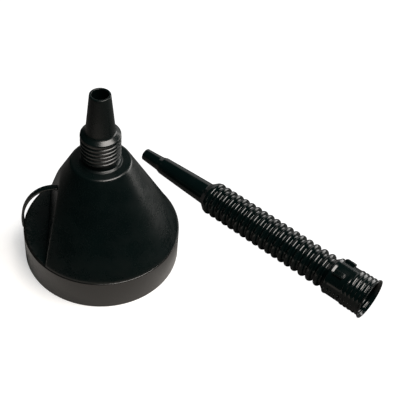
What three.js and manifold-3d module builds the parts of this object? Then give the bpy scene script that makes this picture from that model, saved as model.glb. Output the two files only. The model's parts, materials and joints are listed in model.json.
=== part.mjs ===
// A workshop funnel standing on its mouth, with its screw-on flexible spout lying beside it.
// Millimetres, +Z up. The funnel is drawn about its own axis and the whole set is centred at the end.

import * as THREE from 'three';
import { mergeVertices } from 'three/addons/utils/BufferGeometryUtils.js';
import Module from 'manifold-3d';

const wasm = await Module();
wasm.setup();

// ---------------------------------------------------------------- driving dimensions

const gap = 0.3;                       // left between neighbouring solids

// Funnel body, from the mouth at z = 0 up to the nozzle's tip
const mouthRadius = 79.5;
const rimHeight = 34.2;
const wall = 2.2;
const bandDraft = 0.35;                // how much narrower the band is at its top
const flangeDepth = 1.7;               // the turned-out foot of the cone, on top of the band
const coneFootRadius = 78.4;
const ledgeRadius = 28.8;
const ledgeHeight = 123.3;
const ledgeChamfer = 0.6;
const throatRadius = 14.8;

// Flat side of the cone, which leaves room for a finger between it and the loop
const flatFootX = -54.2;                // where the flat side meets the flange
const flatLean = THREE.MathUtils.degToRad(12);

// Finger loop
const loopCentreX = -45.7;
const loopCentreZ = 41;
const loopReachX = 34.8;
const loopReachZ = 46.5;
const loopThickness = 2.6;
const loopWidth = 6;

// Screw neck and nozzle
const threadPitch = 4.5;
const neckTurns = 5;
const neckPlain = 7;                   // smooth wall between the ledge and the first turn
const neckSeat = ledgeHeight - gap;    // the ledge is recessed under the neck's foot
const neckCrestRadius = 19.2;
const neckRootRadius = 18.4;
const neckBoreRadius = 16.6;
const neckTop = 155.5;                 // the outer edge of its sloping shoulder
const neckTopWall = 2;
const shoulderRise = 3.6;
const nozzleFootRadius = 14;
const nozzleTipRadius = 9.8;
const nozzleTip = 200.2;
const nozzleFootWall = 1.6;
const nozzleTipWall = 2.1;

// Strainer, clipped under the ledge
const strainerRadius = 26.8;
const strainerBore = 22.6;
const strainerTop = ledgeHeight - wall - 0.7;
const strainerDepth = 2.6;
const tabHeight = 9;
const tabWidth = 10;
const tabThickness = 1.6;
const gauzeThickness = 0.8;

// Flexible spout: stations are measured along its axis from the first corrugation
const crestRadius = 18.5;
const valleyRadius = 15.1;
const ringPitch = 8.3;
const widePitch = 9.3;                 // the last corrugations before the cuff stand further apart
const ringCount = 18;
const widePitches = 3;
const crestWidth = 2.6;
const crestFlat = 0.6;                 // half the level width on top of a crest
const crestChamfer = 0.6;
const halfRing = 2.85;                 // from a crest to the end of its outer wall
const skirtOuter = 13.4;               // the inner skirt that reaches into the next ring
const skirtInner = 12.6;
const skirtOverlap = 1.2;              // how far it goes into that ring
const hoseBore = 14.1;
const tubeWall = 1.2;
const tipRadius = 7;
const tipEnd = -104;
const stepStart = -81;
const stepStartRadius = 8.2;
const stepEnd = -76;
const stepEndRadius = 9.9;
const taperEnd = -9.5;
const taperEndRadius = 12.4;
const cuffRadius = 19.5;
const cuffCrestRadius = 20.2;
const cuffGrooveRadius = 19.4;
const cuffBoreRadius = 18.6;
const cuffTurns = 5;
const cuffThreadStart = 171.9;
const lipRadius = 21.8;
const lipEdge = 0.9;
const cuffEnd = 197.2;
const shoulderStation = 152.5;
const lugReach = 22.2;
const lugLength = 11;
const lugWidth = 6;
const lugStation = 158;
const lugTurns = [142, 208].map(THREE.MathUtils.degToRad);   // either side of the spout's top, which is at 180

// Where the spout lies: its first corrugation and the direction from there to the cuff
const spoutX = 122.8;
const spoutY = 50.5;
const spoutBearing = THREE.MathUtils.degToRad(-45.4);

const farReach = 300;                  // larger than the whole set, for boxes that cut other shapes
const roundSegments = 48;
const neckSegments = 24;
const cuffSegments = 24;
const hoseSegments = 16;

// ---------------------------------------------------------------- materials

function plastic(name, colour, roughness) {
  return new THREE.MeshStandardMaterial({ name, color: colour, roughness, metalness: 0 });
}

const bodyPlastic = () => plastic('body_plastic', 0x1b1a1c, 0.42);
const bandPlastic = () => plastic('band_plastic', 0x2b2628, 0.45);
const spoutPlastic = () => plastic('spout_plastic', 0x17171a, 0.36);
const brassGauze = () => new THREE.MeshStandardMaterial({
  name: 'brass_gauze', color: 0xa98748, roughness: 0.5, metalness: 0.8,
});

// ---------------------------------------------------------------- mesh helpers

function signedVolume(positions, index) {
  const a = new THREE.Vector3();
  const b = new THREE.Vector3();
  const c = new THREE.Vector3();
  let volume = 0;
  for (let i = 0; i < index.length; i += 3) {
    a.fromArray(positions, 3 * index[i]);
    b.fromArray(positions, 3 * index[i + 1]);
    c.fromArray(positions, 3 * index[i + 2]);
    volume += a.dot(b.cross(c)) / 6;
  }
  return volume;
}

// Shared vertices merged, collapsed triangles dropped, faces turned outwards.
function closed(geometry) {
  geometry.deleteAttribute('normal');
  geometry.deleteAttribute('uv');
  const merged = mergeVertices(geometry, 1e-4);
  const kept = [];
  for (let i = 0; i < merged.index.count; i += 3) {
    const [a, b, c] = [0, 1, 2].map((corner) => merged.index.getX(i + corner));
    if (a !== b && b !== c && c !== a) kept.push(a, b, c);
  }
  if (signedVolume(merged.attributes.position.array, kept) < 0) kept.reverse();
  merged.setIndex(kept);
  return merged;
}

// A solid of revolution about +Z. Each profile point is [radius, height]; the profile closes on itself.
function revolve(profile, segments) {
  const points = [...profile, profile[0]].map(([radius, height]) => new THREE.Vector2(radius, height));
  const geometry = new THREE.LatheGeometry(points, segments);
  geometry.rotateX(Math.PI / 2);
  return closed(geometry);
}

function toSolid(geometry) {
  return new wasm.Manifold(new wasm.Mesh({
    numProp: 3,
    vertProperties: new Float32Array(geometry.attributes.position.array),
    triVerts: new Uint32Array(geometry.index.array),
  }));
}

function toGeometry(solid) {
  const mesh = solid.getMesh();
  const geometry = new THREE.BufferGeometry();
  geometry.setAttribute('position', new THREE.BufferAttribute(mesh.vertProperties, 3));
  geometry.setIndex(new THREE.BufferAttribute(mesh.triVerts, 1));
  return geometry;
}

function boxSolid(low, high) {
  const size = high.map((value, axis) => value - low[axis]);
  const geometry = new THREE.BoxGeometry(...size);
  geometry.translate(...high.map((value, axis) => (value + low[axis]) / 2));
  return toSolid(closed(geometry));
}

// Everything on the loop's side of the flat wall, moved towards the cone's axis by the given distance.
function flatSideCut(inward) {
  const geometry = new THREE.BoxGeometry(farReach, farReach, farReach);
  geometry.translate(-farReach / 2, 0, 0);
  geometry.rotateY(flatLean);
  geometry.translate(flatFootX + inward / Math.cos(flatLean), 0, rimHeight);
  return toSolid(closed(geometry));
}

const flatWallX = (height) => flatFootX + (height - rimHeight) * Math.tan(flatLean);

function part(name, geometry, material) {
  const mesh = new THREE.Mesh(geometry, material);
  mesh.name = name;
  return mesh;
}

// ---------------------------------------------------------------- funnel body

function rimBand() {
  const top = rimHeight - flangeDepth - gap;
  return revolve([
    [mouthRadius, 0], [mouthRadius - bandDraft, top],
    [mouthRadius - bandDraft - wall, top], [mouthRadius - wall, 0],
  ], roundSegments);
}

// The cone with its flat ledge, its flat side, and the flange that closes the step beside the flat side.
function coneShell() {
  const foot = rimHeight - flangeDepth;
  const flangeRadius = mouthRadius - bandDraft;
  const overlap = 0.1;
  const recessRadius = neckCrestRadius + gap;
  const outerCone = toSolid(revolve([
    [0, rimHeight - overlap], [coneFootRadius, rimHeight - overlap], [coneFootRadius, rimHeight + gap],
    [ledgeRadius + ledgeChamfer, ledgeHeight - 2 * ledgeChamfer], [ledgeRadius - ledgeChamfer, ledgeHeight],
    [recessRadius, ledgeHeight], [recessRadius, neckSeat], [0, neckSeat],
  ], roundSegments));
  const flange = toSolid(revolve([
    [0, foot], [flangeRadius, foot], [flangeRadius, rimHeight], [0, rimHeight],
  ], roundSegments));
  const innerLedge = ledgeHeight - wall;
  const innerFootRadius = coneFootRadius - wall;
  const cavity = toSolid(revolve([
    [0, foot - 1], [innerFootRadius, foot - 1], [innerFootRadius - gap, rimHeight],
    [ledgeRadius - 2 * ledgeChamfer, innerLedge], [0, innerLedge],
  ], roundSegments));
  const throat = toSolid(revolve([
    [0, innerLedge - 1], [throatRadius, innerLedge - 1], [throatRadius, ledgeHeight + 1],
    [0, ledgeHeight + 1],
  ], neckSegments));
  const outside = outerCone.subtract(flatSideCut(0)).add(flange);
  const inside = cavity.subtract(flatSideCut(wall)).add(throat);
  return toGeometry(outside.subtract(inside));
}

// A flat strap on a round arc, from high on the flat side down to the edge of the flange.
function fingerLoop() {
  const innerX = loopReachX - loopThickness;
  const innerZ = loopReachZ - loopThickness;
  const start = Math.PI / 2 - 0.2;       // far enough at both ends to be trimmed against the body
  const end = Math.PI + 0.7;
  const outline = new THREE.Shape();
  outline.absellipse(0, 0, loopReachX, loopReachZ, start, end, false);
  outline.absellipse(0, 0, innerX, innerZ, end, start, true);
  const geometry = new THREE.ExtrudeGeometry(outline, {
    depth: loopWidth, bevelEnabled: false, curveSegments: 20,
  });
  geometry.translate(0, 0, -loopWidth / 2);
  geometry.rotateX(Math.PI / 2);
  geometry.translate(loopCentreX, 0, loopCentreZ);
  const low = [-farReach, -farReach, -farReach];
  const high = [farReach, farReach, farReach];
  const belowFlange = boxSolid(low, [farReach, farReach, rimHeight + gap]);
  const insideBody = boxSolid([flatWallX(loopCentreZ + innerZ) - gap, -farReach, -farReach], high);
  return toGeometry(toSolid(closed(geometry)).subtract(belowFlange).subtract(insideBody));
}

// Rings of thread along a wall: points of one flank after another, from the first turn to the last.
function threadFlanks(start, turns, rootRadius, crest, rootWidth, levelWidth) {
  const points = [];
  for (let turn = 0; turn < turns; turn += 1) {
    const centre = start + (turn + 0.5) * threadPitch;
    points.push([rootRadius, centre - rootWidth / 2]);
    points.push([crest, centre - levelWidth / 2]);
    points.push([crest, centre + levelWidth / 2]);
    points.push([rootRadius, centre + rootWidth / 2]);
  }
  return points;
}

// The screw neck, closed at the top by a sloping shoulder round the nozzle's bore.
function threadedNeck() {
  const foot = neckSeat + gap;
  const boreRadius = nozzleFootRadius - nozzleFootWall;
  const collarHeight = 1.6;
  const filletHeight = 1.5;
  return revolve([
    [neckCrestRadius, foot], [neckRootRadius, foot + filletHeight],
    ...threadFlanks(foot + neckPlain, neckTurns, neckRootRadius, neckCrestRadius, 2.7, 0.7),
    [neckCrestRadius, neckTop - collarHeight], [neckCrestRadius - collarHeight / 3, neckTop],
    [nozzleFootRadius, neckTop + shoulderRise], [boreRadius, neckTop + shoulderRise],
    [boreRadius, neckTop + shoulderRise - neckTopWall], [neckBoreRadius, neckTop - collarHeight],
    [neckBoreRadius, foot],
  ], neckSegments);
}

function nozzle() {
  const foot = neckTop + shoulderRise + gap;
  const tipChamfer = 0.7;
  return revolve([
    [nozzleFootRadius, foot], [nozzleTipRadius, nozzleTip - tipChamfer],
    [nozzleTipRadius - tipChamfer, nozzleTip],
    [nozzleTipRadius - nozzleTipWall, nozzleTip], [nozzleFootRadius - nozzleFootWall, foot],
  ], neckSegments);
}

// ---------------------------------------------------------------- strainer

// A snap-in ring with a small tab to pull it out by.
function strainerFrame() {
  const foot = strainerTop - strainerDepth;
  const ring = toSolid(revolve([
    [strainerRadius, foot], [strainerRadius, strainerTop], [strainerBore, strainerTop], [strainerBore, foot],
  ], neckSegments));
  const tabInner = strainerBore + 1;
  const tab = boxSolid(
    [tabInner, -tabWidth / 2, foot - tabHeight], [tabInner + tabThickness, tabWidth / 2, foot + 1],
  );
  return toGeometry(ring.add(tab));
}

function strainerGauze() {
  const radius = strainerBore - 0.8;
  const geometry = new THREE.CylinderGeometry(radius, radius, gauzeThickness, neckSegments);
  geometry.rotateX(Math.PI / 2);
  geometry.translate(0, 0, strainerTop - strainerDepth / 2);
  return closed(geometry);
}

// ---------------------------------------------------------------- flexible spout

// Where each corrugation stands along the spout's axis.
const stations = [];
for (let ring = 0; ring < ringCount; ring += 1) {
  const wide = Math.max(0, ring - (ringCount - 1 - widePitches));
  stations.push((ring - wide) * ringPitch + wide * widePitch);
}

// The outside of one corrugation, from its front to its back.
function crestOutline(station) {
  const edgeRadius = crestRadius - crestChamfer;
  return [
    [valleyRadius, station + halfRing], [edgeRadius, station + crestWidth / 2],
    [crestRadius, station + crestFlat], [crestRadius, station - crestFlat],
    [edgeRadius, station - crestWidth / 2], [valleyRadius, station - halfRing],
  ];
}

// One corrugation. Its inner skirt reaches across the valley behind it, into the ring before.
function hoseRing(station, stationBefore) {
  const skirtEnd = stationBefore + halfRing - skirtOverlap;
  const skirtRoot = station - 2.4;
  return revolve([
    ...crestOutline(station),
    [skirtOuter, station - halfRing], [skirtOuter, skirtEnd], [skirtInner, skirtEnd],
    [skirtInner, skirtRoot], [hoseBore, station - crestFlat], [hoseBore, station + halfRing],
  ], hoseSegments);
}

// The first corrugation has no ring before it, only the taper, so it ends flat.
function firstRing() {
  const [station] = stations;
  const back = station - halfRing;
  return revolve([
    ...crestOutline(station),
    [hoseBore - tubeWall, back], [hoseBore, back + tubeWall], [hoseBore, station + halfRing],
  ], hoseSegments);
}

// The long taper with its stepped tip.
function spoutTube() {
  const end = stations[0] - halfRing - gap;
  const outer = [
    [tipRadius, tipEnd], [stepStartRadius, stepStart], [stepEndRadius, stepEnd],
    [taperEndRadius, taperEnd], [valleyRadius - gap, taperEnd + 3], [valleyRadius, end],
  ];
  const inner = outer.map(([radius, station]) => [radius - tubeWall, station]).reverse();
  return revolve([...outer, ...inner], hoseSegments);
}

// Blocks that stand out from the cuff beside its shoulder, for turning it by hand.
function gripLugs() {
  const root = cuffRadius - 0.5;
  return lugTurns.map((turn) => {
    const block = new THREE.BoxGeometry(lugReach - root, lugWidth, lugLength);
    block.translate((lugReach + root) / 2, 0, lugStation + lugLength / 2);
    block.rotateZ(turn);
    return toSolid(closed(block));
  });
}

// The screw cuff: shoulder, grip lugs, thread rings pressed through the thin wall, and a flared lip.
function spoutCuff() {
  const valley = stations[ringCount - 1] + halfRing + gap;
  const boreFoot = valleyRadius - 1;
  const shoulderLength = 1.5;
  const thread = (root, crest) => threadFlanks(cuffThreadStart, cuffTurns, root, crest, 3.7, 2.1);
  const outside = [
    [valleyRadius, valley], [valleyRadius + 0.6, shoulderStation - 2 * shoulderLength],
    [cuffRadius - 0.9, shoulderStation], [cuffRadius + 0.4, shoulderStation + shoulderLength],
    [cuffRadius + 0.4, shoulderStation + 2 * shoulderLength], [cuffRadius, lugStation],
    ...thread(cuffRadius, cuffCrestRadius),
    [lipRadius, cuffEnd - lipEdge], [lipRadius, cuffEnd],
  ];
  const bore = [
    [lipRadius - wall / 2, cuffEnd],
    ...thread(cuffBoreRadius, cuffGrooveRadius).reverse(),
    [cuffBoreRadius, shoulderStation + shoulderLength], [boreFoot, shoulderStation - shoulderLength],
    [boreFoot, valley],
  ];
  return toGeometry(gripLugs().reduce(
    (cuff, lug) => cuff.add(lug), toSolid(revolve([...outside, ...bore], cuffSegments)),
  ));
}

// The spout lies on its first corrugation and on the cuff's lip.
function spoutGroup() {
  const group = new THREE.Group();
  group.add(part('spout_tube', spoutTube(), spoutPlastic()));
  group.add(part('hose_ring_01', firstRing(), spoutPlastic()));
  for (let ring = 1; ring < ringCount; ring += 1) {
    const name = `hose_ring_${String(ring + 1).padStart(2, '0')}`;
    group.add(part(name, hoseRing(stations[ring], stations[ring - 1]), spoutPlastic()));
  }
  group.add(part('spout_cuff', spoutCuff(), spoutPlastic()));
  const rise = Math.atan((lipRadius - crestRadius) / cuffEnd);
  group.rotation.set(0, Math.PI / 2 - rise, spoutBearing, 'ZYX');
  group.position.set(spoutX, spoutY, crestRadius / Math.cos(rise) + crestFlat * Math.sin(rise));
  return group;
}

// ---------------------------------------------------------------- the set

const set = new THREE.Group();
set.add(part('rim_band', rimBand(), bandPlastic()));
set.add(part('cone_shell', coneShell(), bodyPlastic()));
set.add(part('finger_loop', fingerLoop(), bodyPlastic()));
set.add(part('threaded_neck', threadedNeck(), bodyPlastic()));
set.add(part('nozzle', nozzle(), bodyPlastic()));
set.add(part('strainer_frame', strainerFrame(), bodyPlastic()));
set.add(part('strainer_gauze', strainerGauze(), brassGauze()));
set.add(spoutGroup());

// The origin goes under the middle of the set's own box, on the surface it stands on.
set.updateMatrixWorld(true);
const middle = new THREE.Box3().setFromObject(set, true).getCenter(new THREE.Vector3());
set.position.set(-middle.x, -middle.y, 0);

export default set;
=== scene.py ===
"""A black plastic funnel standing on its mouth, with its screw-on flexible spout lying beside it.

Shapes are drawn in millimetres about the funnel's own axis or along the spout's own axis, and a
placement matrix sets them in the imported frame, which is in metres.
"""

import json
import math

import bmesh
import bpy
from mathutils import Matrix, Vector

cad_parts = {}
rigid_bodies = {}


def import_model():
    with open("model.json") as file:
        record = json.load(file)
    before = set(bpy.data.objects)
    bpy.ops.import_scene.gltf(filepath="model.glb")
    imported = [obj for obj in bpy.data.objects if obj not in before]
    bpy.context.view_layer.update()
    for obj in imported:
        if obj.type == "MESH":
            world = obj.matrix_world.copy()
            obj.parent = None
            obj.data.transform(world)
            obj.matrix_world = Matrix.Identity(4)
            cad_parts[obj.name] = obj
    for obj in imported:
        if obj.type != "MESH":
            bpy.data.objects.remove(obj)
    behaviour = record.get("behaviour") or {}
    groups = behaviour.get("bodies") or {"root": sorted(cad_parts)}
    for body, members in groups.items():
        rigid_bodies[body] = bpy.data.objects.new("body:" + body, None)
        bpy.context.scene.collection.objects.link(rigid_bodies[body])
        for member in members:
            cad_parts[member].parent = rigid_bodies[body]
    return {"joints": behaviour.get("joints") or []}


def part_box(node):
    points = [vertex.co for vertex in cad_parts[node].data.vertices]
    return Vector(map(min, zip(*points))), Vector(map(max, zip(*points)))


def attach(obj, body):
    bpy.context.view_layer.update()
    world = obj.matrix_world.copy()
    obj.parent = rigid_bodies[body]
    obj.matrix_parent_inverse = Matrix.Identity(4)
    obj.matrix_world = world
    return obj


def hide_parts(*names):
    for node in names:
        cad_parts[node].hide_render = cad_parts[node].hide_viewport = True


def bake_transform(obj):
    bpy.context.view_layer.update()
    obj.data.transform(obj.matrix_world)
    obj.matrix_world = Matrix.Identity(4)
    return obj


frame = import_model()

MM = 0.001
TURN = 2 * math.pi

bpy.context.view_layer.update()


# ---------------------------------------------------------------- places and sizes read from the frame

def box_mm(node):
    """A CAD node's lowest and highest corners, in millimetres."""
    low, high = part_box(node)
    return low / MM, high / MM


band_low, band_high = box_mm("rim_band")
cone_low, cone_high = box_mm("cone_shell")
neck_low, neck_high = box_mm("threaded_neck")
nozzle_low, nozzle_high = box_mm("nozzle")
loop_low, loop_high = box_mm("finger_loop")
strainer_low, strainer_high = box_mm("strainer_frame")
gauze_low, gauze_high = box_mm("strainer_gauze")

FUNNEL_AXIS = (band_low + band_high) / 2
FUNNEL_PLACE = Matrix.Scale(MM, 4) @ Matrix.Translation((FUNNEL_AXIS.x, FUNNEL_AXIS.y, 0))

bends = sorted(
    (joint for joint in frame["joints"] if "_bend_" in joint["name"]),
    key=lambda joint: int(joint["name"][-2:]),
)
valleys = [Vector(joint["pos_m"]) / MM for joint in bends]
HOSE_AXIS = (valleys[-1] - valleys[0]).normalized()
HOSE_FRONT = HOSE_AXIS.cross(Vector((0, 0, 1))).normalized()
HOSE_TOP = HOSE_FRONT.cross(HOSE_AXIS)
first_crest = valleys[0] - (valleys[1] - valleys[0]) / 2
SPOUT_PLACE = Matrix.Scale(MM, 4) @ Matrix.Translation(first_crest) @ Matrix(
    (HOSE_TOP, HOSE_FRONT, HOSE_AXIS)
).transposed().to_4x4()

# Stations run along the spout's axis from the first crest; a valley lies midway between two crests.
crests = [0.0]
for valley in valleys:
    crests.append(2 * (valley - first_crest).dot(HOSE_AXIS) - crests[-1])
HOSE_BODIES = [bends[0]["parent"]] + [joint["child"] for joint in bends]


# ---------------------------------------------------------------- driving sizes, in millimetres

MOUTH_RADIUS = (band_high.x - band_low.x) / 2
BAND_DRAFT = 0.35                      # how much narrower the band is at its top
WALL = 2.2
FLANGE_TOP = loop_low.z - 0.3
FLANGE_BOTTOM = cone_low.z
CONE_FOOT_RADIUS = MOUTH_RADIUS - 1.1
LEDGE_RADIUS = 28.8
LEDGE_TOP = cone_high.z
THROAT_RADIUS = 14.8
FLAT_FOOT_DEPTH = 54.2                 # from the axis to the flat side, at the flange
FLAT_LEAN = math.radians(12)

LOOP_CENTRE_X = -45.7
LOOP_CENTRE_Z = 41.0
LOOP_REACH_X = 34.8
LOOP_REACH_Z = 46.5
LOOP_THICKNESS = 2.6
LOOP_WIDTH = loop_high.y - loop_low.y

NECK_RADIUS = (neck_high.x - neck_low.x) / 2
NECK_ROOT_RADIUS = NECK_RADIUS - 0.9
NECK_BORE_RADIUS = 16.6
NECK_SHOULDER_RISE = 3.6
THREAD_PITCH = 4.5
THREAD_TURNS = 5
NECK_TURNS = THREAD_TURNS + 1          # the visible helix has one turn more than the rings in the solids
NECK_PLAIN = 7.0                       # smooth wall between the ledge and the first turn
NOZZLE_FOOT_RADIUS = (nozzle_high.x - nozzle_low.x) / 2
NOZZLE_TIP_RADIUS = 9.8
NOZZLE_BORE_RADIUS = 7.7

CREST_RADIUS = 18.5
VALLEY_RADIUS = 15.1
CREST_ARC = 2.55                       # radius of the rounding on top of a bead, seen from the side
VALLEY_ARC = 1.35
BEAD_HALF = 4.15                       # from a crest to a valley, at the hose's narrower pitch
HOSE_WALL = 1.0
SPLIT_VALLEYS = (3, 15)                # where a blended wall would leave its bodies when all joints bend
SLEEVE_CLEARANCE = 0.4
SLEEVE_HALF = 2.6                      # half the length of the sleeve inside a split valley
TIP_END = -104.0
STEP_START = -81.0
STEP_END = -76.0
TAPER_END = -9.5
CUFF_RADIUS = 19.5
CUFF_CREST_RADIUS = 20.2
CUFF_WALL = 1.0
CUFF_THREAD_START = 171.9
SHOULDER_STATION = 152.5
LIP_RADIUS = 21.8
CUFF_END = 197.2
LUG_ANGLES = [math.radians(-38), math.radians(28)]    # from the spout's top towards the viewer
LUG_STATION = 158.0
LUG_LENGTH = 11.0
LUG_WIDTH = 6.0
LUG_REACH = 22.2

ROUND = 160                            # steps round the funnel's large circles
FINE_ROUND = 128                       # steps round the threaded parts
HOSE_ROUND = 96                        # steps round the corrugated hose

CREASE = 40                            # degrees between two faces above which their edge is sharp
THREAD_CREASE = 60
HOSE_CREASE = 70
WIRE_CREASE = 80


# ---------------------------------------------------------------- mesh helpers

def smoothstep(value):
    value = min(max(value, 0.0), 1.0)
    return value * value * (3 - 2 * value)


def rounded(corners, steps=5):
    """A closed outline through (x, y, fillet) corners, each rounded by its own fillet radius."""
    outline = []
    for index, (x, y, fillet) in enumerate(corners):
        corner = Vector((x, y))
        if fillet == 0:
            outline.append(corner)
            continue
        before = Vector(corners[index - 1][:2]) - corner
        after = Vector(corners[(index + 1) % len(corners)][:2]) - corner
        half_angle = before.angle(after) / 2
        cut = min(fillet / math.tan(half_angle), 0.48 * before.length, 0.48 * after.length)
        start = corner + before.normalized() * cut
        end = corner + after.normalized() * cut
        for step in range(steps + 1):
            t = step / steps
            outline.append(start * (1 - t) ** 2 + corner * 2 * t * (1 - t) + end * t * t)
    return outline


def dense(outline, longest):
    """The same closed outline with no side longer than the given length."""
    points = []
    for index, point in enumerate(outline):
        after = outline[(index + 1) % len(outline)]
        parts = max(1, math.ceil((after - point).length / longest))
        points += [point.lerp(after, part / parts) for part in range(parts)]
    return points


def loft(sections, closed=False):
    """Vertices and faces of a skin over equal loops of points, closed into a ring or capped at both ends."""
    size = len(sections[0])
    vertices = [point for section in sections for point in section]
    faces = []
    for span in range(len(sections) if closed else len(sections) - 1):
        here = span * size
        there = (span + 1) % len(sections) * size
        for index in range(size):
            after = (index + 1) % size
            faces.append((here + index, here + after, there + after, there + index))
    if not closed:
        faces.append(tuple(range(size)))
        faces.append(tuple(range(len(vertices) - size, len(vertices))))
    return vertices, faces


def lathe(outline, steps, shape=None):
    """A closed (radius, height) outline turned about Z. shape(radius, height, angle) may move each point."""
    sections = []
    for step in range(steps):
        angle = TURN * step / steps
        section = []
        for radius, height in outline:
            if shape is not None:
                radius, height = shape(radius, height, angle)
            section.append(Vector((radius * math.cos(angle), radius * math.sin(angle), height)))
        sections.append(section)
    return loft(sections, closed=True)


def rounded_block(size, fillet, place):
    """A box of that size with rounded edges, set by a matrix."""
    block = bmesh.new()
    bmesh.ops.create_cube(block, size=1)
    bmesh.ops.scale(block, vec=size, verts=block.verts)
    bmesh.ops.bevel(block, geom=block.edges, offset=fillet, segments=4, profile=0.5, affect="EDGES")
    vertices = [place @ vertex.co for vertex in block.verts]
    faces = [tuple(vertex.index for vertex in face.verts) for face in block.faces]
    block.free()
    return vertices, faces


def piece(name, lofts, place, material, nodes=(), body=None, smooth=CREASE):
    """One visible piece: its lofts joined in one mesh, set in place, with its material, slot and body."""
    built = bmesh.new()
    for vertices, faces in lofts:
        corners = [built.verts.new(place @ vertex) for vertex in vertices]
        for face in faces:
            built.faces.new([corners[index] for index in face])
    bmesh.ops.recalc_face_normals(built, faces=built.faces)
    mesh = bpy.data.meshes.new(name)
    built.to_mesh(mesh)
    built.free()
    mesh.shade_smooth()
    mesh.set_sharp_from_angle(angle=math.radians(smooth))
    mesh.materials.append(material)
    made = bpy.data.objects.new(name, mesh)
    bpy.context.scene.collection.objects.link(made)
    if nodes:
        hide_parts(*nodes)
    if body:
        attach(made, body)
    return made


def helix(height, angle, start, turns, narrowness):
    """The height of a screw thread's ridge at that place, from 0 to 1, fading out at both ends."""
    along = (height - start) / THREAD_PITCH - angle / TURN
    lap = math.floor(along)
    done = lap + angle / TURN
    if done < 0 or done > turns:
        return 0.0
    ridge = (0.5 - 0.5 * math.cos(TURN * (along - lap))) ** narrowness
    return ridge * smoothstep(done / 0.2) * smoothstep((turns - done) / 0.2)


# ---------------------------------------------------------------- materials

class Shader:
    """A node material with a Principled shader, and short ways to add and join nodes."""

    def __init__(self, name):
        self.material = bpy.data.materials.new(name)
        self.material.use_nodes = True
        self.nodes = self.material.node_tree.nodes
        self.links = self.material.node_tree.links
        self.principled = self.nodes["Principled BSDF"]
        self.place = self.nodes.new("ShaderNodeTexCoord").outputs["Object"]

    def set(self, **values):
        for socket, value in values.items():
            self.principled.inputs[socket.replace("_", " ")].default_value = value

    def join(self, output, socket):
        self.links.new(output, self.principled.inputs[socket])

    def noise(self, scale, detail=3, roughness=0.5):
        node = self.nodes.new("ShaderNodeTexNoise")
        node.inputs["Scale"].default_value = scale
        node.inputs["Detail"].default_value = detail
        node.inputs["Roughness"].default_value = roughness
        self.links.new(self.place, node.inputs["Vector"])
        return node.outputs["Fac"]

    def map(self, value, low, high, to_low, to_high):
        """The value's low to high range, clamped, turned into another range."""
        node = self.nodes.new("ShaderNodeMapRange")
        self.links.new(value, node.inputs["Value"])
        limits = {"From Min": low, "From Max": high, "To Min": to_low, "To Max": to_high}
        for socket, number in limits.items():
            node.inputs[socket].default_value = number
        return node.outputs["Result"]

    def math(self, operation, first, second):
        node = self.nodes.new("ShaderNodeMath")
        node.operation = operation
        for socket, value in zip(node.inputs, (first, second)):
            if isinstance(value, (int, float)):
                socket.default_value = value
            else:
                self.links.new(value, socket)
        return node.outputs["Value"]

    def mix(self, share, first, second):
        """A colour between two: share is an output, and each colour is an output or (red, green, blue)."""
        node = self.nodes.new("ShaderNodeMix")
        node.data_type = "RGBA"
        self.links.new(share, node.inputs["Factor"])
        for socket, value in ((node.inputs[6], first), (node.inputs[7], second)):
            if isinstance(value, tuple):
                socket.default_value = (*value, 1)
            else:
                self.links.new(value, socket)
        return node.outputs[2]

    def specks(self, scale, radius, share):
        """1 on small round specks: one in some of the cells of a grid of that many cells to a metre."""
        cells = self.nodes.new("ShaderNodeTexVoronoi")
        cells.inputs["Scale"].default_value = scale
        self.links.new(self.place, cells.inputs["Vector"])
        chosen = self.nodes.new("ShaderNodeSeparateColor")
        self.links.new(cells.outputs["Color"], chosen.inputs["Color"])
        near = self.math("LESS_THAN", cells.outputs["Distance"], radius)
        picked = self.math("LESS_THAN", chosen.outputs["Red"], share)
        return self.math("MULTIPLY", near, picked)

    def bump(self, height, strength, distance, below=None):
        node = self.nodes.new("ShaderNodeBump")
        node.inputs["Strength"].default_value = strength
        node.inputs["Distance"].default_value = distance
        self.links.new(height, node.inputs["Height"])
        if below is not None:
            self.links.new(below, node.inputs["Normal"])
        return node.outputs["Normal"]

    def edges(self, low, high):
        """0 on flat faces, rising to 1 on worn outer edges."""
        geometry = self.nodes.new("ShaderNodeNewGeometry")
        return self.map(geometry.outputs["Pointiness"], low, high, 0, 1)


WORN_COLOUR = (0.012, 0.012, 0.011)
DUST_COLOUR = (0.05, 0.05, 0.045)


def black_plastic(name, deep, pale, roughness, ripple):
    """Moulded black plastic: slow colour drift, a fine grain, dust, and worn paler edges.

    Deep and pale are the two ends of the drift, and ripple is the height of the slow waves, in metres.
    """
    shader = Shader(name)
    shader.set(IOR=1.5, Metallic=0.0, Specular_Tint=(1.0, 0.95, 0.90, 1))
    drift = shader.map(shader.noise(30, 4), 0.35, 0.7, 0, 1)
    colour = shader.mix(drift, deep, pale)
    rubbed = shader.map(shader.noise(400, 4), 0.4, 0.65, 0, 1)
    wear = shader.math("MULTIPLY", shader.edges(0.53, 0.62), rubbed)
    colour = shader.mix(wear, colour, WORN_COLOUR)
    dust = shader.specks(150, 0.04, 0.03)
    colour = shader.mix(dust, colour, DUST_COLOUR)
    shader.join(colour, "Base Color")
    patches = shader.map(shader.noise(55, 5, 0.6), 0.3, 0.7, roughness - 0.05, roughness + 0.06)
    scuffed = shader.math("ADD", patches, shader.math("MULTIPLY", wear, 0.12))
    shader.join(scuffed, "Roughness")
    waves = shader.bump(shader.noise(28, 2), 0.5, ripple)
    grain = shader.bump(shader.noise(1600, 3, 0.6), 0.25, 0.00006, below=waves)
    shader.join(grain, "Normal")
    return shader.material


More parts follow.
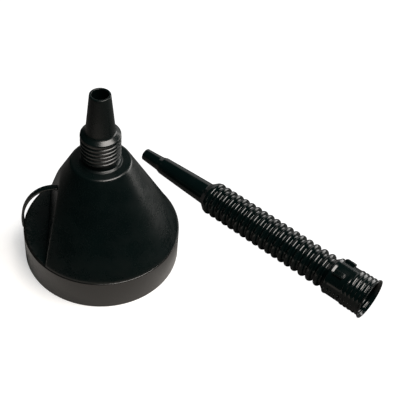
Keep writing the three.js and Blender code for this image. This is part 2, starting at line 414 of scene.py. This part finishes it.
def brass_wire(name):
    """Drawn brass wire with darker tarnish in patches."""
    shader = Shader(name)
    shader.set(Metallic=1.0, IOR=1.5)
    tarnish = shader.map(shader.noise(180, 4, 0.6), 0.35, 0.7, 0, 1)
    shader.join(shader.mix(tarnish, (0.50, 0.35, 0.13), (0.24, 0.15, 0.06)), "Base Color")
    shader.join(shader.map(shader.noise(500, 3), 0.3, 0.7, 0.28, 0.5), "Roughness")
    shader.join(shader.bump(shader.noise(3000, 2), 0.3, 0.00003), "Normal")
    return shader.material


funnel_black = black_plastic(
    "funnel_black",
    deep=(0.0007, 0.0031, 0.0029),
    pale=(0.0015, 0.0047, 0.0043),
    roughness=0.27,
    ripple=0.0008,
)
# The band is the same black plastic as the cone, given a paler, warmer colour: a painted reflection of the
# floor.
band_black_painted_reflection = black_plastic(
    "band_black_painted_reflection",
    deep=(0.0030, 0.0030, 0.0026),
    pale=(0.0055, 0.0054, 0.0046),
    roughness=0.2,
    ripple=0.0005,
)
spout_black = black_plastic(
    "spout_black",
    deep=(0.0006, 0.0030, 0.0028),
    pale=(0.0012, 0.0044, 0.0041),
    roughness=0.15,
    ripple=0.0004,
)
gauze_brass = brass_wire("gauze_brass")


# ---------------------------------------------------------------- funnel

def funnel_piece(name, lofts, material, nodes=(), smooth=CREASE, body="funnel"):
    return piece(name, lofts, FUNNEL_PLACE, material, nodes, body, smooth)


def mouth_band():
    """The upright band round the mouth, with a rounded rim that the cone stands inside."""
    top_radius = MOUTH_RADIUS - BAND_DRAFT
    rim_fillet = 1.2
    seat_width = 2.4
    outline = rounded([
        (MOUTH_RADIUS, band_low.z, 0.5), (top_radius, FLANGE_TOP, rim_fillet),
        (top_radius - seat_width, FLANGE_TOP, 0), (top_radius - WALL, FLANGE_BOTTOM - 0.6, 0.4),
        (MOUTH_RADIUS - WALL, band_low.z, 0.6),
    ])
    funnel_piece("mouth_band", [lathe(outline, ROUND)], band_black_painted_reflection, ["rim_band"])


def flat_depth(height, inset):
    """How far from the axis the flat side is at that height, or its inner face with an inset."""
    return FLAT_FOOT_DEPTH - (height - FLANGE_TOP) * math.tan(FLAT_LEAN) - inset


def corner_angle(radius, depth):
    """Half the angle that the flat side takes up of a circle of that radius."""
    narrowest = 0.05
    return max(narrowest, math.acos(min(depth / radius, 1.0)))


def cone_columns():
    """Columns round the cone, as (on the flat side, place): denser towards its two corners."""
    to_corner = [0, 0.35, 0.6, 0.8, 0.9, 0.95, 0.98, 0.993]
    flat = [-place for place in reversed(to_corner[1:])] + to_corner
    count = 120
    near = [0.002, 0.005, 0.01, 0.018, 0.03]
    spread = [near[-1] + (1 - 2 * near[-1]) * step / count for step in range(1, count)]
    away = near + spread + [1 - place for place in reversed(near)]
    on_flat = [(True, place) for place in flat] + [(True, 1.0)]
    return on_flat + [(False, place) for place in away] + [(True, -1.0)]


def cone_point(row, column):
    """A point of the cone's shell: a circle with its flat side cut off, rounded where the two meet.

    A row without an inset is a full circle, as the plate under the cone is.
    """
    radius, height, inset = row
    on_flat, place = column
    cut = inset is not None
    depth = flat_depth(height if cut else FLANGE_TOP, inset if cut else 0.0)
    half = corner_angle(radius if cut else CONE_FOOT_RADIUS, depth)
    angle = math.pi + place * half if on_flat else math.pi + half + place * (TURN - 2 * half)
    reach = radius
    across = math.cos(angle - math.pi)
    if cut and across > 0:
        straight = depth / across
        softness = 0.5
        reach = min(radius, straight) - softness * math.log1p(math.exp(-abs(radius - straight) / softness))
    return Vector((reach * math.cos(angle), reach * math.sin(angle), height))


def cone_rows():
    """Rows of the shell as (radius, height, inset of the flat side): up the outside and down the inside."""
    slope = (CONE_FOOT_RADIUS - LEDGE_RADIUS) / (LEDGE_TOP - FLANGE_TOP)
    inner_top = LEDGE_TOP - WALL
    inner_foot_radius = CONE_FOOT_RADIUS - 1.15 * WALL
    plate_radius = MOUTH_RADIUS - 1.6
    plate_top = FLANGE_TOP - 0.12
    foot_radius = CONE_FOOT_RADIUS - 0.3
    foot_fillet = 0.5
    wall_rows = 56
    rows = [(plate_radius, FLANGE_BOTTOM, None), (plate_radius, plate_top, None)]
    for out in (foot_fillet, 0.3, 0.15):
        rows.append((foot_radius + 0.2 * out, plate_top + foot_fillet - out, -out))
    for step in range(1, wall_rows):
        height = FLANGE_TOP + 0.7 + (LEDGE_TOP - FLANGE_TOP - 2.4) * (step / wall_rows)
        rows.append((CONE_FOOT_RADIUS - (height - FLANGE_TOP) * slope, height, 0.0))
    edge = [(1.35, -2.5), (0.85, -1.6), (0.35, -0.9), (-0.25, -0.42), (-0.9, -0.13), (-1.7, 0.0)]
    rows += [(LEDGE_RADIUS + out, LEDGE_TOP + down, 0.0) for out, down in edge]
    rows += [(THROAT_RADIUS + 0.4, LEDGE_TOP, 0.0), (THROAT_RADIUS, LEDGE_TOP - 0.4, 0.0)]
    rows += [(THROAT_RADIUS, inner_top, 0.0), (LEDGE_RADIUS - WALL, inner_top, WALL)]
    for step in range(1, wall_rows):
        height = inner_top - 1 + (FLANGE_TOP - inner_top + 1) * (step / wall_rows)
        rows.append((inner_foot_radius - (height - FLANGE_TOP) * slope, height, WALL))
    rows.append((inner_foot_radius, FLANGE_BOTTOM, WALL))
    return rows


def cone_body():
    rows = cone_rows()
    sections = [[cone_point(row, column) for row in rows] for column in cone_columns()]
    funnel_piece("cone_body", [loft(sections, closed=True)], funnel_black, ["cone_shell"])


def finger_strap():
    """A flat strap with rounded edges along part of an ellipse, sunk into the flat side and the flange."""
    out, side = LOOP_THICKNESS / 2, LOOP_WIDTH / 2
    fillet = 0.7
    corners = [(-out, -side, fillet), (out, -side, fillet), (out, side, fillet), (-out, side, fillet)]
    section = rounded(corners, steps=4)
    reach_x = LOOP_REACH_X - out - 0.05
    reach_z = LOOP_REACH_Z - out
    sunk_angle = 0.10
    sunk_foot = 1.2
    start = math.pi / 2 - sunk_angle
    end = math.pi + math.asin((LOOP_CENTRE_Z - FLANGE_TOP + sunk_foot) / reach_z)
    steps = 72
    sections = []
    for step in range(steps + 1):
        angle = start + (end - start) * step / steps
        x, z = math.cos(angle), math.sin(angle)
        centre = Vector((LOOP_CENTRE_X + reach_x * x, 0, LOOP_CENTRE_Z + reach_z * z))
        outward = Vector((reach_z * x, 0, reach_x * z)).normalized()
        sections.append([centre + outward * away + Vector((0, across, 0)) for away, across in section])
    funnel_piece("finger_strap", [loft(sections)], funnel_black, ["finger_loop"])


def screw_neck():
    """The neck on the ledge: a helical thread with steep flanks, a smooth collar and a sloping shoulder."""
    foot = LEDGE_TOP
    top = neck_high.z - NECK_SHOULDER_RISE
    root = NECK_ROOT_RADIUS - 0.4
    step_radius = NOZZLE_FOOT_RADIUS - 1.6
    outline = dense(rounded([
        (NECK_RADIUS + 1.6, foot - 0.4, 0), (NECK_RADIUS + 1.2, foot + 0.35, 0.6),
        (root + 0.2, foot + 1.3, 1.5), (root, foot + 3, 0), (root, top - 3.4, 0.8),
        (NECK_RADIUS - 0.1, top - 2.2, 0.8), (NECK_RADIUS - 0.2, top + 0.1, 1.1),
        (NOZZLE_FOOT_RADIUS - 0.4, neck_high.z, 0.3),
        (step_radius, neck_high.z, 0), (step_radius, neck_high.z - 2, 0),
        (NECK_BORE_RADIUS, top - 1.5, 0.8), (NECK_BORE_RADIUS, foot - 0.4, 0),
    ]), 0.28)
    start = foot + NECK_PLAIN - THREAD_PITCH
    steepness = 1.8

    def threaded(radius, height, angle):
        if radius < NECK_BORE_RADIUS + 1 or not start < height < top:
            return radius, height
        wave = helix(height, angle, start, NECK_TURNS, 1.0)
        ridge = smoothstep(steepness * wave - 0.5)
        return max(radius, root + (NECK_RADIUS - root) * ridge), height

    lofts = [lathe(outline, FINE_ROUND, threaded)]
    funnel_piece("screw_neck", lofts, funnel_black, ["threaded_neck"], THREAD_CREASE)


def pour_nozzle():
    foot = neck_high.z - 0.4
    outline = dense(rounded([
        (NOZZLE_FOOT_RADIUS + 0.9, foot, 0), (NOZZLE_FOOT_RADIUS, foot + 1.1, 1.6),
        (NOZZLE_TIP_RADIUS, nozzle_high.z, 0.9), (NOZZLE_BORE_RADIUS, nozzle_high.z, 0.7),
        (NOZZLE_FOOT_RADIUS - 1.8, foot, 0),
    ], 7), 3)
    funnel_piece("pour_nozzle", [lathe(outline, FINE_ROUND)], funnel_black, ["nozzle"])


# ---------------------------------------------------------------- strainer

def strainer_ring():
    radius = (strainer_high.x - strainer_low.x) / 2
    bore = (gauze_high.x - gauze_low.x) / 2
    top = strainer_high.z
    bottom = gauze_low.z - 0.9
    outline = rounded([
        (radius, bottom, 0.5), (radius, top, 0.6), (bore - 0.4, top, 0.4), (bore - 0.4, gauze_high.z, 0),
        (bore + 0.6, gauze_high.z, 0), (bore + 0.6, gauze_low.z, 0), (bore - 0.4, gauze_low.z, 0),
        (bore - 0.4, bottom, 0.5),
    ])
    tab_width = 9.6
    tab_foot = strainer_low.z
    tab_height = bottom - tab_foot + 1
    tab_place = Matrix.Translation((bore + 2.6, 0, tab_foot + tab_height / 2))
    lofts = [lathe(outline, ROUND), rounded_block((1.6, tab_width, tab_height), 0.5, tab_place)]
    for ridge in range(3):
        place = Matrix.Translation((bore + 1.9, 0, tab_foot + 1.8 + 2 * ridge))
        lofts.append(rounded_block((0.9, tab_width - 2, 0.8), 0.25, place))
    funnel_piece("strainer_ring", lofts, funnel_black, ["strainer_frame"], body="strainer")


def woven_gauze():
    """Two sets of round wires, each passing over and under the other."""
    pitch = 1.5
    wire = 0.17
    radius = (gauze_high.x - gauze_low.x) / 2 - 0.1
    height = (gauze_low.z + gauze_high.z) / 2
    count = int(radius / pitch)
    sides = 5
    lofts = []
    for turned in (False, True):
        for line in range(-count, count + 1):
            across = line * pitch
            half = math.sqrt(radius * radius - across * across)
            steps = 4 * max(1, round(half / pitch))
            sections = []
            for step in range(steps + 1):
                along = -half + 2 * half * step / steps
                weave = math.cos(math.pi * along / pitch + math.pi * line) * (1 if turned else -1)
                centre = Vector((along, across, height + wire * weave))
                section = []
                for side in range(sides):
                    angle = TURN * side / sides
                    out = Vector((0, wire * math.cos(angle), wire * math.sin(angle)))
                    section.append(centre + out)
                if turned:
                    section = [Vector((-point.y, point.x, point.z)) for point in section]
                sections.append(section)
            lofts.append(loft(sections))
    piece(
        "woven_gauze", lofts, FUNNEL_PLACE, gauze_brass, ["strainer_gauze"], "strainer",
        WIRE_CREASE,
    )


# ---------------------------------------------------------------- spout

def spout_piece(name, lofts, nodes=(), body=None, smooth=CREASE):
    return piece(name, lofts, SPOUT_PLACE, spout_black, nodes, body, smooth)


def bead_line(crest, valley, steps=9):
    """Outer points of the hose's wall from a crest to the valley beside it: two arcs and a steep flank."""
    stretch = (valley - crest) / BEAD_HALF
    crest_centre = CREST_RADIUS - CREST_ARC
    valley_centre = VALLEY_RADIUS + VALLEY_ARC
    tilt = math.atan2(valley_centre - crest_centre, BEAD_HALF)
    reach = math.hypot(valley_centre - crest_centre, BEAD_HALF)
    flank = math.pi / 2 - tilt - math.acos((CREST_ARC + VALLEY_ARC) / reach)
    points = []
    for step in range(steps + 1):
        angle = flank * step / steps
        along = CREST_ARC * math.sin(angle)
        points.append(Vector((crest_centre + CREST_ARC * math.cos(angle), crest + stretch * along)))
    for step in range(steps, -1, -1):
        angle = flank * step / steps
        along = BEAD_HALF - VALLEY_ARC * math.sin(angle)
        points.append(Vector((valley_centre - VALLEY_ARC * math.cos(angle), crest + stretch * along)))
    return points


def hollow(outer):
    """The outline of a thin wall: the outer line, and the same line moved in by the wall."""
    return outer + [Vector((point.x - HOSE_WALL, point.y)) for point in reversed(outer)]


def spout_taper():
    """The stepped tip, the long taper, and the flank of the first bead: up the outside, down the inside."""
    inner_crest = CREST_RADIUS - HOSE_WALL
    corners = [
        (6.3, TIP_END, 0), (7.0, TIP_END, 0.45), (7.7, TIP_END + 13.5, 0), (8.3, STEP_START, 1.2),
        (9.9, STEP_END, 1.2), (11.4, -40, 0), (12.45, TAPER_END - 1, 2.0), (15.6, -6.2, 1.2),
        (17.6, -3.6, 1.5), (CREST_RADIUS, -0.5, 1.2), (CREST_RADIUS, 0, 0), (inner_crest, 0, 0),
        (inner_crest, -0.5, 1.0), (13.6, -6.0, 1.5), (11.2, TAPER_END - 1, 2), (8.7, STEP_END, 1),
        (7.1, STEP_START, 1), (5.8, TIP_END, 0.3),
    ]
    outline = dense(rounded(corners, 6), 3)
    spout_piece("spout_taper", [lathe(outline, HOSE_ROUND)], ["spout_tube", "hose_ring_01"], HOSE_BODIES[0])


def split_wall(number, start, middle, end):
    """The wall over one valley in two rigid halves on their own bodies, with a sleeve inside the joint."""
    sleeve_out = VALLEY_RADIUS - HOSE_WALL - SLEEVE_CLEARANCE
    sleeve_in = sleeve_out - HOSE_WALL
    low, high = middle - SLEEVE_HALF, middle + SLEEVE_HALF
    corners = [(sleeve_out, low), (sleeve_out, high), (sleeve_in, high), (sleeve_in, low)]
    sleeve = [Vector(corner) for corner in corners]
    first = [lathe(hollow(bead_line(start, middle)), HOSE_ROUND), lathe(sleeve, HOSE_ROUND)]
    second = [lathe(hollow(bead_line(end, middle)[::-1]), HOSE_ROUND)]
    ring = f"hose_ring_{number + 1:02d}"
    spout_piece(f"hose_wall_{number:02d}a", first, (), HOSE_BODIES[number - 1], HOSE_CREASE)
    spout_piece(f"hose_wall_{number:02d}b", second, [ring], HOSE_BODIES[number], HOSE_CREASE)


def hose_walls():
    """A piece of wall over each valley. Over a split valley it is two halves, each on one of the bodies that
    the valley's hinge joins; every other wall is one piece on no body.
    """
    for number in range(1, len(crests)):
        start, end = crests[number - 1], crests[number]
        middle = (start + end) / 2
        if number in SPLIT_VALLEYS:
            split_wall(number, start, middle, end)
            continue
        outline = hollow(bead_line(start, middle) + bead_line(end, middle)[-2::-1])
        ring = f"hose_ring_{number + 1:02d}"
        lofts = [lathe(outline, HOSE_ROUND)]
        made = spout_piece(f"hose_wall_{number:02d}", lofts, [ring], smooth=HOSE_CREASE)
        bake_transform(made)


def cuff_barrel():
    """The last bead's second flank, a rounded shoulder, the thread pressed through the wall, and a lip."""
    last = crests[-1]
    valley = last + 4.3
    inner_radius = CUFF_RADIUS - CUFF_WALL
    thread_end = CUFF_END - 2.6
    bead = bead_line(last, valley)
    barrel = rounded([
        (VALLEY_RADIUS + 0.1, valley + 0.2, 0), (VALLEY_RADIUS + 0.4, valley + 0.5, 0.4),
        (CUFF_RADIUS - 1.4, SHOULDER_STATION - 0.2, 1.0), (CUFF_RADIUS + 0.8, SHOULDER_STATION + 1.8, 1.6),
        (CUFF_RADIUS, SHOULDER_STATION + 5, 1.2), (CUFF_RADIUS, thread_end, 2.0),
        (LIP_RADIUS - 0.5, CUFF_END - 1.6, 0.8), (LIP_RADIUS, CUFF_END - 0.6, 0.4),
        (LIP_RADIUS, CUFF_END, 0.2), (LIP_RADIUS - 0.9, CUFF_END, 0.2),
        (inner_radius, thread_end - 0.6, 2.0), (inner_radius, SHOULDER_STATION + 3, 1.5),
        (VALLEY_RADIUS - CUFF_WALL, valley + 0.6, 1.0),
    ])
    inner_bead = [Vector((point.x - HOSE_WALL, point.y)) for point in reversed(bead)]
    outline = dense(bead + barrel + inner_bead, 0.5)
    thread_depth = CUFF_CREST_RADIUS - CUFF_RADIUS + 0.2

    def threaded(radius, height, angle):
        if not CUFF_THREAD_START < height < thread_end:
            return radius, height
        depth = thread_depth * smoothstep((thread_end - height) / 1.5)
        return radius + depth * helix(height, angle, CUFF_THREAD_START, THREAD_TURNS, 0.5), height

    spout_piece("cuff_barrel", [lathe(outline, FINE_ROUND, threaded)], ["spout_cuff"], "cuff", THREAD_CREASE)


def on_cuff(angle, radius, station):
    """A place on the cuff with its X pointing out from the spout's axis."""
    return Matrix.Rotation(angle, 4, "Z") @ Matrix.Translation((radius, 0, station))


def cuff_lugs():
    """Two grip lugs beside the shoulder, each with two fine ridges along its top."""
    root = CUFF_RADIUS - 0.8
    top = LUG_REACH - 0.3
    middle = LUG_STATION + LUG_LENGTH / 2
    for number, angle in enumerate(LUG_ANGLES, 1):
        size = (top - root, LUG_WIDTH, LUG_LENGTH)
        lofts = [rounded_block(size, 0.45, on_cuff(angle, (top + root) / 2, middle))]
        for across in (-1.6, 1.2):
            ridge = on_cuff(angle, LUG_REACH - 0.7, middle) @ Matrix.Translation((0, across, 0))
            lofts.append(rounded_block((1.5, 1.2, LUG_LENGTH - 1.6), 0.55, ridge))
        spout_piece(f"cuff_lug_{number}", lofts, body="cuff")


def grip_bars():
    """A row of small raised bars on each side of the cuff."""
    bars = 9
    bar_size = (2.0, 5.0, 1.3)
    first, last = SHOULDER_STATION + 3.2, CUFF_THREAD_START + 16
    lofts = []
    for angle in (math.radians(94), math.radians(-94)):
        for bar in range(bars):
            station = first + (last - first) * bar / (bars - 1)
            lofts.append(rounded_block(bar_size, 0.3, on_cuff(angle, CUFF_RADIUS + 0.5, station)))
    spout_piece("grip_bars", lofts, body="cuff")


# ---------------------------------------------------------------- stage, lights and camera

def floor():
    """A pale table top that shows white: it glows for camera rays only, which keeps it evenly white and
    pales its shadows. It gives more light back in front of the funnel than elsewhere: its colour is pale
    there and dark further out, a painted pool of light with painted shade around it that only reflections
    show.
    """
    mesh = bpy.data.meshes.new("floor")
    half = 30
    corners = [(-half, -half, 0), (half, -half, 0), (half, half, 0), (-half, half, 0)]
    mesh.from_pydata(corners, [], [(0, 1, 2, 3)])
    made = bpy.data.objects.new("floor", mesh)
    bpy.context.scene.collection.objects.link(made)
    shader = Shader("pale_floor")
    shader.set(Roughness=0.9, Specular_IOR_Level=0.05, Emission_Color=(1, 1, 1, 1))
    distance = shader.nodes.new("ShaderNodeVectorMath")
    distance.operation = "DISTANCE"
    # Middle of the painted pool of light: the floor's colour is pale near it and dark, painted shade,
    # further out.
    painted_light_centre = FUNNEL_AXIS + Vector((-42, -118, 0))
    distance.inputs[1].default_value = painted_light_centre * MM
    shader.links.new(shader.place, distance.inputs[0])
    outward = shader.map(distance.outputs["Value"], 0.13, 0.19, 0, 1)
    shader.join(shader.mix(outward, (0.68, 0.64, 0.60), (0.11, 0.105, 0.10)), "Base Color")
    # A glow for camera rays only, stronger where the colour is darker, so the floor looks evenly white and
    # its shadows pale.
    glow = shader.map(outward, 0, 1, 0.50, 1.03)
    rays = shader.nodes.new("ShaderNodeLightPath")
    shader.join(shader.math("MULTIPLY", glow, rays.outputs["Is Camera Ray"]), "Emission Strength")
    mesh.materials.append(shader.material)


def softbox(name, size, place, watts):
    """A rectangular light of that width and height, facing the middle of the table."""
    lamp = bpy.data.lights.new(name, "AREA")
    lamp.shape = "RECTANGLE"
    lamp.size, lamp.size_y = size
    lamp.energy = watts
    made = bpy.data.objects.new(name, lamp)
    bpy.context.scene.collection.objects.link(made)
    made.location = place
    made.rotation_euler = Vector(place).to_track_quat("Z", "Y").to_euler()


def lights():
    """A softbox overhead, dim panels at the right and behind, and a dark room that shows as white."""
    softbox("overhead", (0.95, 0.56), (0.36, -0.28, 1.2), 20)
    softbox("side_panel", (1.1, 0.8), (1.26, 0.66, 0.4), 12)
    softbox("back_panel", (1.8, 0.8), (0.1, 1.35, 0.42), 3)
    world = bpy.data.worlds.new("room")
    bpy.context.scene.world = world
    world.use_nodes = True
    nodes, links = world.node_tree.nodes, world.node_tree.links
    room = nodes["Background"]
    room.inputs["Color"].default_value = (0.012, 0.022, 0.022, 1)
    backdrop = nodes.new("ShaderNodeBackground")
    backdrop.inputs["Color"].default_value = (1, 1, 1, 1)
    rays = nodes.new("ShaderNodeLightPath")
    mix = nodes.new("ShaderNodeMixShader")
    links.new(rays.outputs["Is Camera Ray"], mix.inputs["Fac"])
    links.new(room.outputs["Background"], mix.inputs[1])
    links.new(backdrop.outputs["Background"], mix.inputs[2])
    links.new(mix.outputs["Shader"], nodes["World Output"].inputs["Surface"])


def camera():
    data = bpy.data.cameras.new("camera")
    data.sensor_width = 36
    data.lens = 69.75
    data.shift_x = 0.10
    made = bpy.data.objects.new("camera", data)
    bpy.context.scene.collection.objects.link(made)
    pitch, azimuth, roll = (math.radians(angle) for angle in (45.52, 5.24, 3.69))
    forward = Vector((
        math.sin(azimuth) * math.cos(pitch), math.cos(azimuth) * math.cos(pitch), -math.sin(pitch),
    ))
    level = Vector((math.cos(azimuth), -math.sin(azimuth), 0))
    above = level.cross(forward)
    right = level * math.cos(roll) + above * math.sin(roll)
    up = above * math.cos(roll) - level * math.sin(roll)
    turned = Matrix((right, up, -forward)).transposed().to_4x4()
    stand = (FUNNEL_AXIS + Vector((8.776, -538.305, 0))) * MM
    stand_height = 0.6191
    made.matrix_world = Matrix.Translation((stand.x, stand.y, stand_height)) @ turned
    bpy.context.scene.camera = made


bpy.context.scene.view_settings.view_transform = "Standard"
camera()
floor()
lights()

mouth_band()
cone_body()
finger_strap()
screw_neck()
pour_nozzle()
strainer_ring()
woven_gauze()

spout_taper()
hose_walls()
cuff_barrel()
cuff_lugs()
grip_bars()
